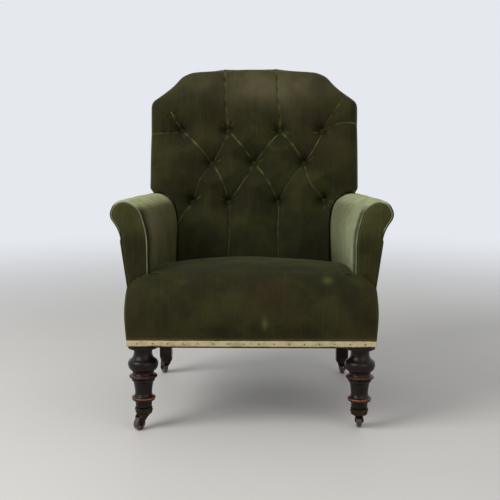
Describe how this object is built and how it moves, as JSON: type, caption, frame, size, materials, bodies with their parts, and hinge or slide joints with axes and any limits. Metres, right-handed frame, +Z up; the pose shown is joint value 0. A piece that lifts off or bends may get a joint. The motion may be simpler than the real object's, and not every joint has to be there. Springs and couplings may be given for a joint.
{
  "type": "button back armchair",
  "caption": "Low upholstered armchair with a buttoned, raked back, scroll arms, a sprung T-shaped seat, turned front legs and castors.",
  "frame": {"origin": "on the floor, under the middle of the chair's outer box", "axes": "+Z up; the chair faces -Y; +X is to the right of someone looking at its front"},
  "size_m": [0.7134, 0.7196, 0.93],
  "materials": {
    "frame_wood": "matte",
    "ebonised_wood": "satin",
    "castor_metal": "satin",
    "castor_wheel": "gloss",
    "screw_metal": "satin",
    "spring_steel": "satin",
    "webbing": "matte",
    "hessian": "matte",
    "stuffing": "matte",
    "velvet": "matte",
    "dust_cloth": "matte",
    "tape": "matte",
    "twine": "matte"
  },
  "bodies": {
    "chair": {"front_seat_rail": "frame_wood", "back_seat_rail": "frame_wood", "left_seat_rail": "frame_wood", "right_seat_rail": "frame_wood", "back_crest_rail": "frame_wood", "back_stuffing_rail": "frame_wood", "left_arm_post": "frame_wood", "right_arm_post": "frame_wood", "left_arm_rail": "frame_wood", "right_arm_rail": "frame_wood", "left_arm_stuffing_rail": "frame_wood", "right_arm_stuffing_rail": "frame_wood", "corner_blocks": "frame_wood", "frame_dowels": "frame_wood", "left_back_post": "ebonised_wood", "right_back_post": "ebonised_wood", "left_front_leg": "ebonised_wood", "right_front_leg": "ebonised_wood", "front_left_castor_cup": "castor_metal", "front_right_castor_cup": "castor_metal", "rear_left_castor_cup": "castor_metal", "rear_right_castor_cup": "castor_metal", "castor_screws": "screw_metal", "tape_tacks": "screw_metal", "seat_springs": "spring_steel", "seat_webbing": "webbing", "back_webbing": "webbing", "spring_hessian": "hessian", "back_hessian": "hessian", "seat_stuffing": "stuffing", "back_stuffing": "stuffing", "left_arm_stuffing": "stuffing", "right_arm_stuffing": "stuffing", "seat_cover": "velvet", "inside_back_cover": "velvet", "back_buttons": "velvet", "outside_back_panel": "velvet", "left_inside_arm_cover": "velvet", "right_inside_arm_cover": "velvet", "left_outside_arm_panel": "velvet", "right_outside_arm_panel": "velvet", "left_arm_facing": "velvet", "right_arm_facing": "velvet", "left_arm_piping": "velvet", "right_arm_piping": "velvet", "dust_cover": "dust_cloth", "base_tape": "tape", "button_twines": "twine"},
    "front_left_fork": {"front_left_castor_fork": "castor_metal", "front_left_castor_axle": "castor_metal"},
    "front_left_wheel": {"front_left_castor_wheel": "castor_wheel"},
    "front_right_fork": {"front_right_castor_fork": "castor_metal", "front_right_castor_axle": "castor_metal"},
    "front_right_wheel": {"front_right_castor_wheel": "castor_wheel"},
    "rear_left_fork": {"rear_left_castor_fork": "castor_metal", "rear_left_castor_axle": "castor_metal"},
    "rear_left_wheel": {"rear_left_castor_wheel": "castor_wheel"},
    "rear_right_fork": {"rear_right_castor_fork": "castor_metal", "rear_right_castor_axle": "castor_metal"},
    "rear_right_wheel": {"rear_right_castor_wheel": "castor_wheel"}
  },
  "joints": [
    {"name": "front_left_swivel", "type": "hinge", "parent": "chair", "child": "front_left_fork", "pos_m": [0.276, -0.30575, 0.0395], "axis": [0, 0, 1], "continuous": true},
    {"name": "front_left_roll", "type": "hinge", "parent": "front_left_fork", "child": "front_left_wheel", "pos_m": [0.27851, -0.28793, 0.017], "axis": [-0.9903, 0.1392, 0], "continuous": true},
    {"name": "front_right_swivel", "type": "hinge", "parent": "chair", "child": "front_right_fork", "pos_m": [-0.276, -0.30575, 0.0395], "axis": [0, 0, 1], "continuous": true},
    {"name": "front_right_roll", "type": "hinge", "parent": "front_right_fork", "child": "front_right_wheel", "pos_m": [-0.28607, -0.32067, 0.017], "axis": [0.829, -0.5592, 0], "continuous": true},
    {"name": "rear_left_swivel", "type": "hinge", "parent": "chair", "child": "rear_left_fork", "pos_m": [0.272, 0.21075, 0.0395], "axis": [0, 0, 1], "continuous": true},
    {"name": "rear_left_roll", "type": "hinge", "parent": "rear_left_fork", "child": "rear_left_wheel", "pos_m": [0.27696, 0.22805, 0.017], "axis": [-0.9613, 0.2756, 0], "continuous": true},
    {"name": "rear_right_swivel", "type": "hinge", "parent": "chair", "child": "rear_right_fork", "pos_m": [-0.272, 0.21075, 0.0395], "axis": [0, 0, 1], "continuous": true},
    {"name": "rear_right_roll", "type": "hinge", "parent": "rear_right_fork", "child": "rear_right_wheel", "pos_m": [-0.28045, 0.22664, 0.017], "axis": [-0.8829, -0.4695, 0], "continuous": true}
  ]
}
